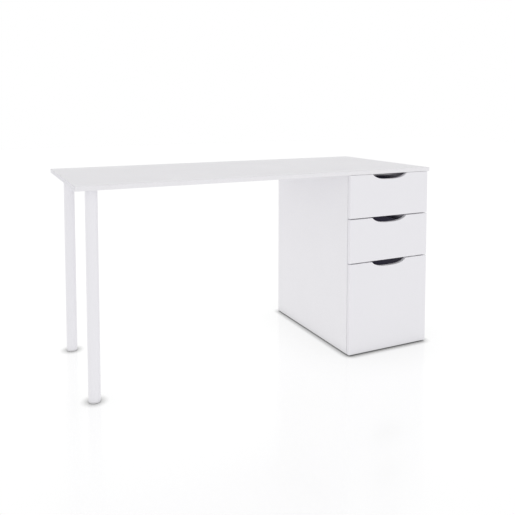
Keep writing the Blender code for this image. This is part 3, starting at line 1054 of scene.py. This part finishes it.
def folded_line(corners):
    """The middle line of a folded strip, and its normals.

    At each inner corner the line leaves one leg a radius before the corner and turns through a
    quarter circle to the other. A normal is square to the mean of the steps before and after.
    """
    corners = np.array(corners, float)
    quarter = np.linspace(0.0, np.pi / 2, FOLD_STEPS + 1)[:, None]
    line = [corners[:1]]
    for before, bend, after in zip(corners, corners[1:], corners[2:]):
        into = FOLD_RADIUS * (before - bend) / np.linalg.norm(before - bend)
        out = FOLD_RADIUS * (after - bend) / np.linalg.norm(after - bend)
        line.append(bend + into + out - out * np.cos(quarter) - into * np.sin(quarter))
    line = np.concatenate([*line, corners[-1:]])
    along = np.gradient(line, axis=0)
    step = np.diff(line, axis=0)
    step /= np.linalg.norm(step, axis=1, keepdims=True)
    along[1:-1] = step[1:] + step[:-1]
    along[0], along[-1] = step[0], step[-1]
    along /= np.linalg.norm(along, axis=1, keepdims=True)
    return line, np.stack([-along[:, 1], along[:, 0]], axis=-1)


def channel(shape, wall, inward, middle_z, front, back):
    """Rings of a rolled channel: the strip's own section, a long thin rectangle with its corners
    eased, is carried along the folded line from one flange's end to the other's.
    """
    web, end, half, lip, thick = shape
    corners = [(end, half), (web, half), (web, -half), (end, -half)]
    if lip:
        corners = [(end, half - lip), *corners, (end, lip - half)]
    line, normal = folded_line(corners)
    out = thick / 2
    ease = STRIP_EASE
    side = np.array([-out, -out, ease - out, out - ease, out, out, out - ease, ease - out])
    y = np.array([back - ease, front + ease, front, front, front + ease, back - ease, back, back])
    flat = line[:, None] + normal[:, None] * side[:, None]
    y = np.broadcast_to(y, flat.shape[:2])
    return np.stack([wall + inward * flat[..., 0], y, middle_z + flat[..., 1]], axis=-1)


def ball(radius, x, y, z):
    """Rings of a ball: circles of radius r sin t at heights r cos t."""
    turn = np.linspace(0.0, 2 * np.pi, BALL_POINTS, endpoint=False)
    tilt = np.linspace(0.0, np.pi, BALL_RINGS)[:, None]
    wide = radius * np.sin(tilt)
    shape = [x + wide * np.cos(turn), y + wide * np.sin(turn), z + radius * np.cos(tilt) + 0 * turn]
    return np.stack(shape, axis=-1)


def lever_outline(y, z):
    """A release lever's outline: a strip whose middle line rises and falls again in one wave,
    half as wide at its tail as at its thumb end, with round ends.
    """
    share = np.linspace(0.0, 1.0, LEVER_POINTS)
    ends = np.sqrt(1 - np.abs(2 * share - 1) ** LEVER_SQUARENESS)
    half = LEVER_WIDTH / 2 * (1.0 - LEVER_TAPER * share) * ends
    middle = LEVER_RISE * LEVER_WIDTH * (1 - np.cos(2 * np.pi * share))
    upper = np.stack([y + LEVER_LENGTH * share, z + middle + half], axis=-1)
    lower = np.stack([y + LEVER_LENGTH * share, z + middle - half], axis=-1)
    return np.concatenate([upper[::-1], lower[1:-1]])


zinc_strip = zinc_plate("rolled_zinc_strip", per_metre=(720.0, 18.0, 720.0))
lever_plastic = moulded_plastic(
    "moulded_dark_grey_abs", LEVER_GREY, spark_mm=0.8, depth_mm=0.015, roughness=0.45
)
head_rings = recessed_head(WEB_SCREW_HEAD, WEB_SCREW_TALL)
walls = {
    "left": (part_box("cabinet_left_side")[1][0], 1),
    "right": (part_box("cabinet_right_side")[0][0], -1),
}
for drawer in ("top", "middle", "bottom"):
    bodies = {
        "cabinet": "desk_frame",
        "middle": drawer + "_runner_middles",
        "drawer": drawer + "_drawer",
    }
    for side, (wall, inward) in walls.items():
        for member, shape in MEMBERS.items():
            node = "_".join((drawer, side, member, "rail"))
            low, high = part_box(node)
            middle_z = (low[2] + high[2]) / 2
            rings = channel(shape, wall, inward, middle_z, low[1], high[1])
            strip = skin(node + "_channel", rings, zinc_strip, bodies[member])
            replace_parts(strip, node)
            if member in CAGES:
                folded, radius = CAGES[member]
                cage_ends = (low[1] + CAGE_SETBACK, low[1] + CAGE_LENGTH)
                cage = channel(folded, wall, inward, middle_z, *cage_ends)
                skin(node + "_ball_cage", cage, zinc_strip, bodies[member])
                places = low[1] + CAGE_LENGTH * (np.arange(CAGE_BALLS) + 0.5) / CAGE_BALLS
                across = wall + inward * (folded[1] - radius)
                balls = [
                    ball(radius, across, y, middle_z + side_z * folded[2])
                    for y in places
                    for side_z in (-1, 1)
                ]
                skin(
                    node + "_balls",
                    balls,
                    zinc_screw,
                    bodies[member],
                    capped=False,
                )
            if member == "middle":
                continue
            # The heads face each other across the runner: away from the wall on the outer
            # member, and towards it on the inner one
            facing = 1 if member == "cabinet" else -1
            face = shape[0] + facing * shape[4] / 2
            heads = [
                on_wall(head_rings, wall + inward * face, low[1] + inset, middle_z, inward * facing)
                for inset in WEB_SCREW_INSETS
            ]
            skin(node + "_screws", heads, zinc_screw, bodies[member])
            if member == "drawer":
                deep = wall + inward * (face - LEVER_THICK - LEVER_OFF_WEB)
                near, far = sorted((deep, deep + inward * LEVER_THICK))
                outline = lever_outline(low[1] + LEVER_INSET, middle_z)
                # The plate is drawn upright along X, and this turns it to lie along Y
                rings = eased_plate(outline, near, far, LEVER_EASE)[..., [1, 0, 2]]
                skin(node + "_lever", rings, lever_plastic, bodies[member])
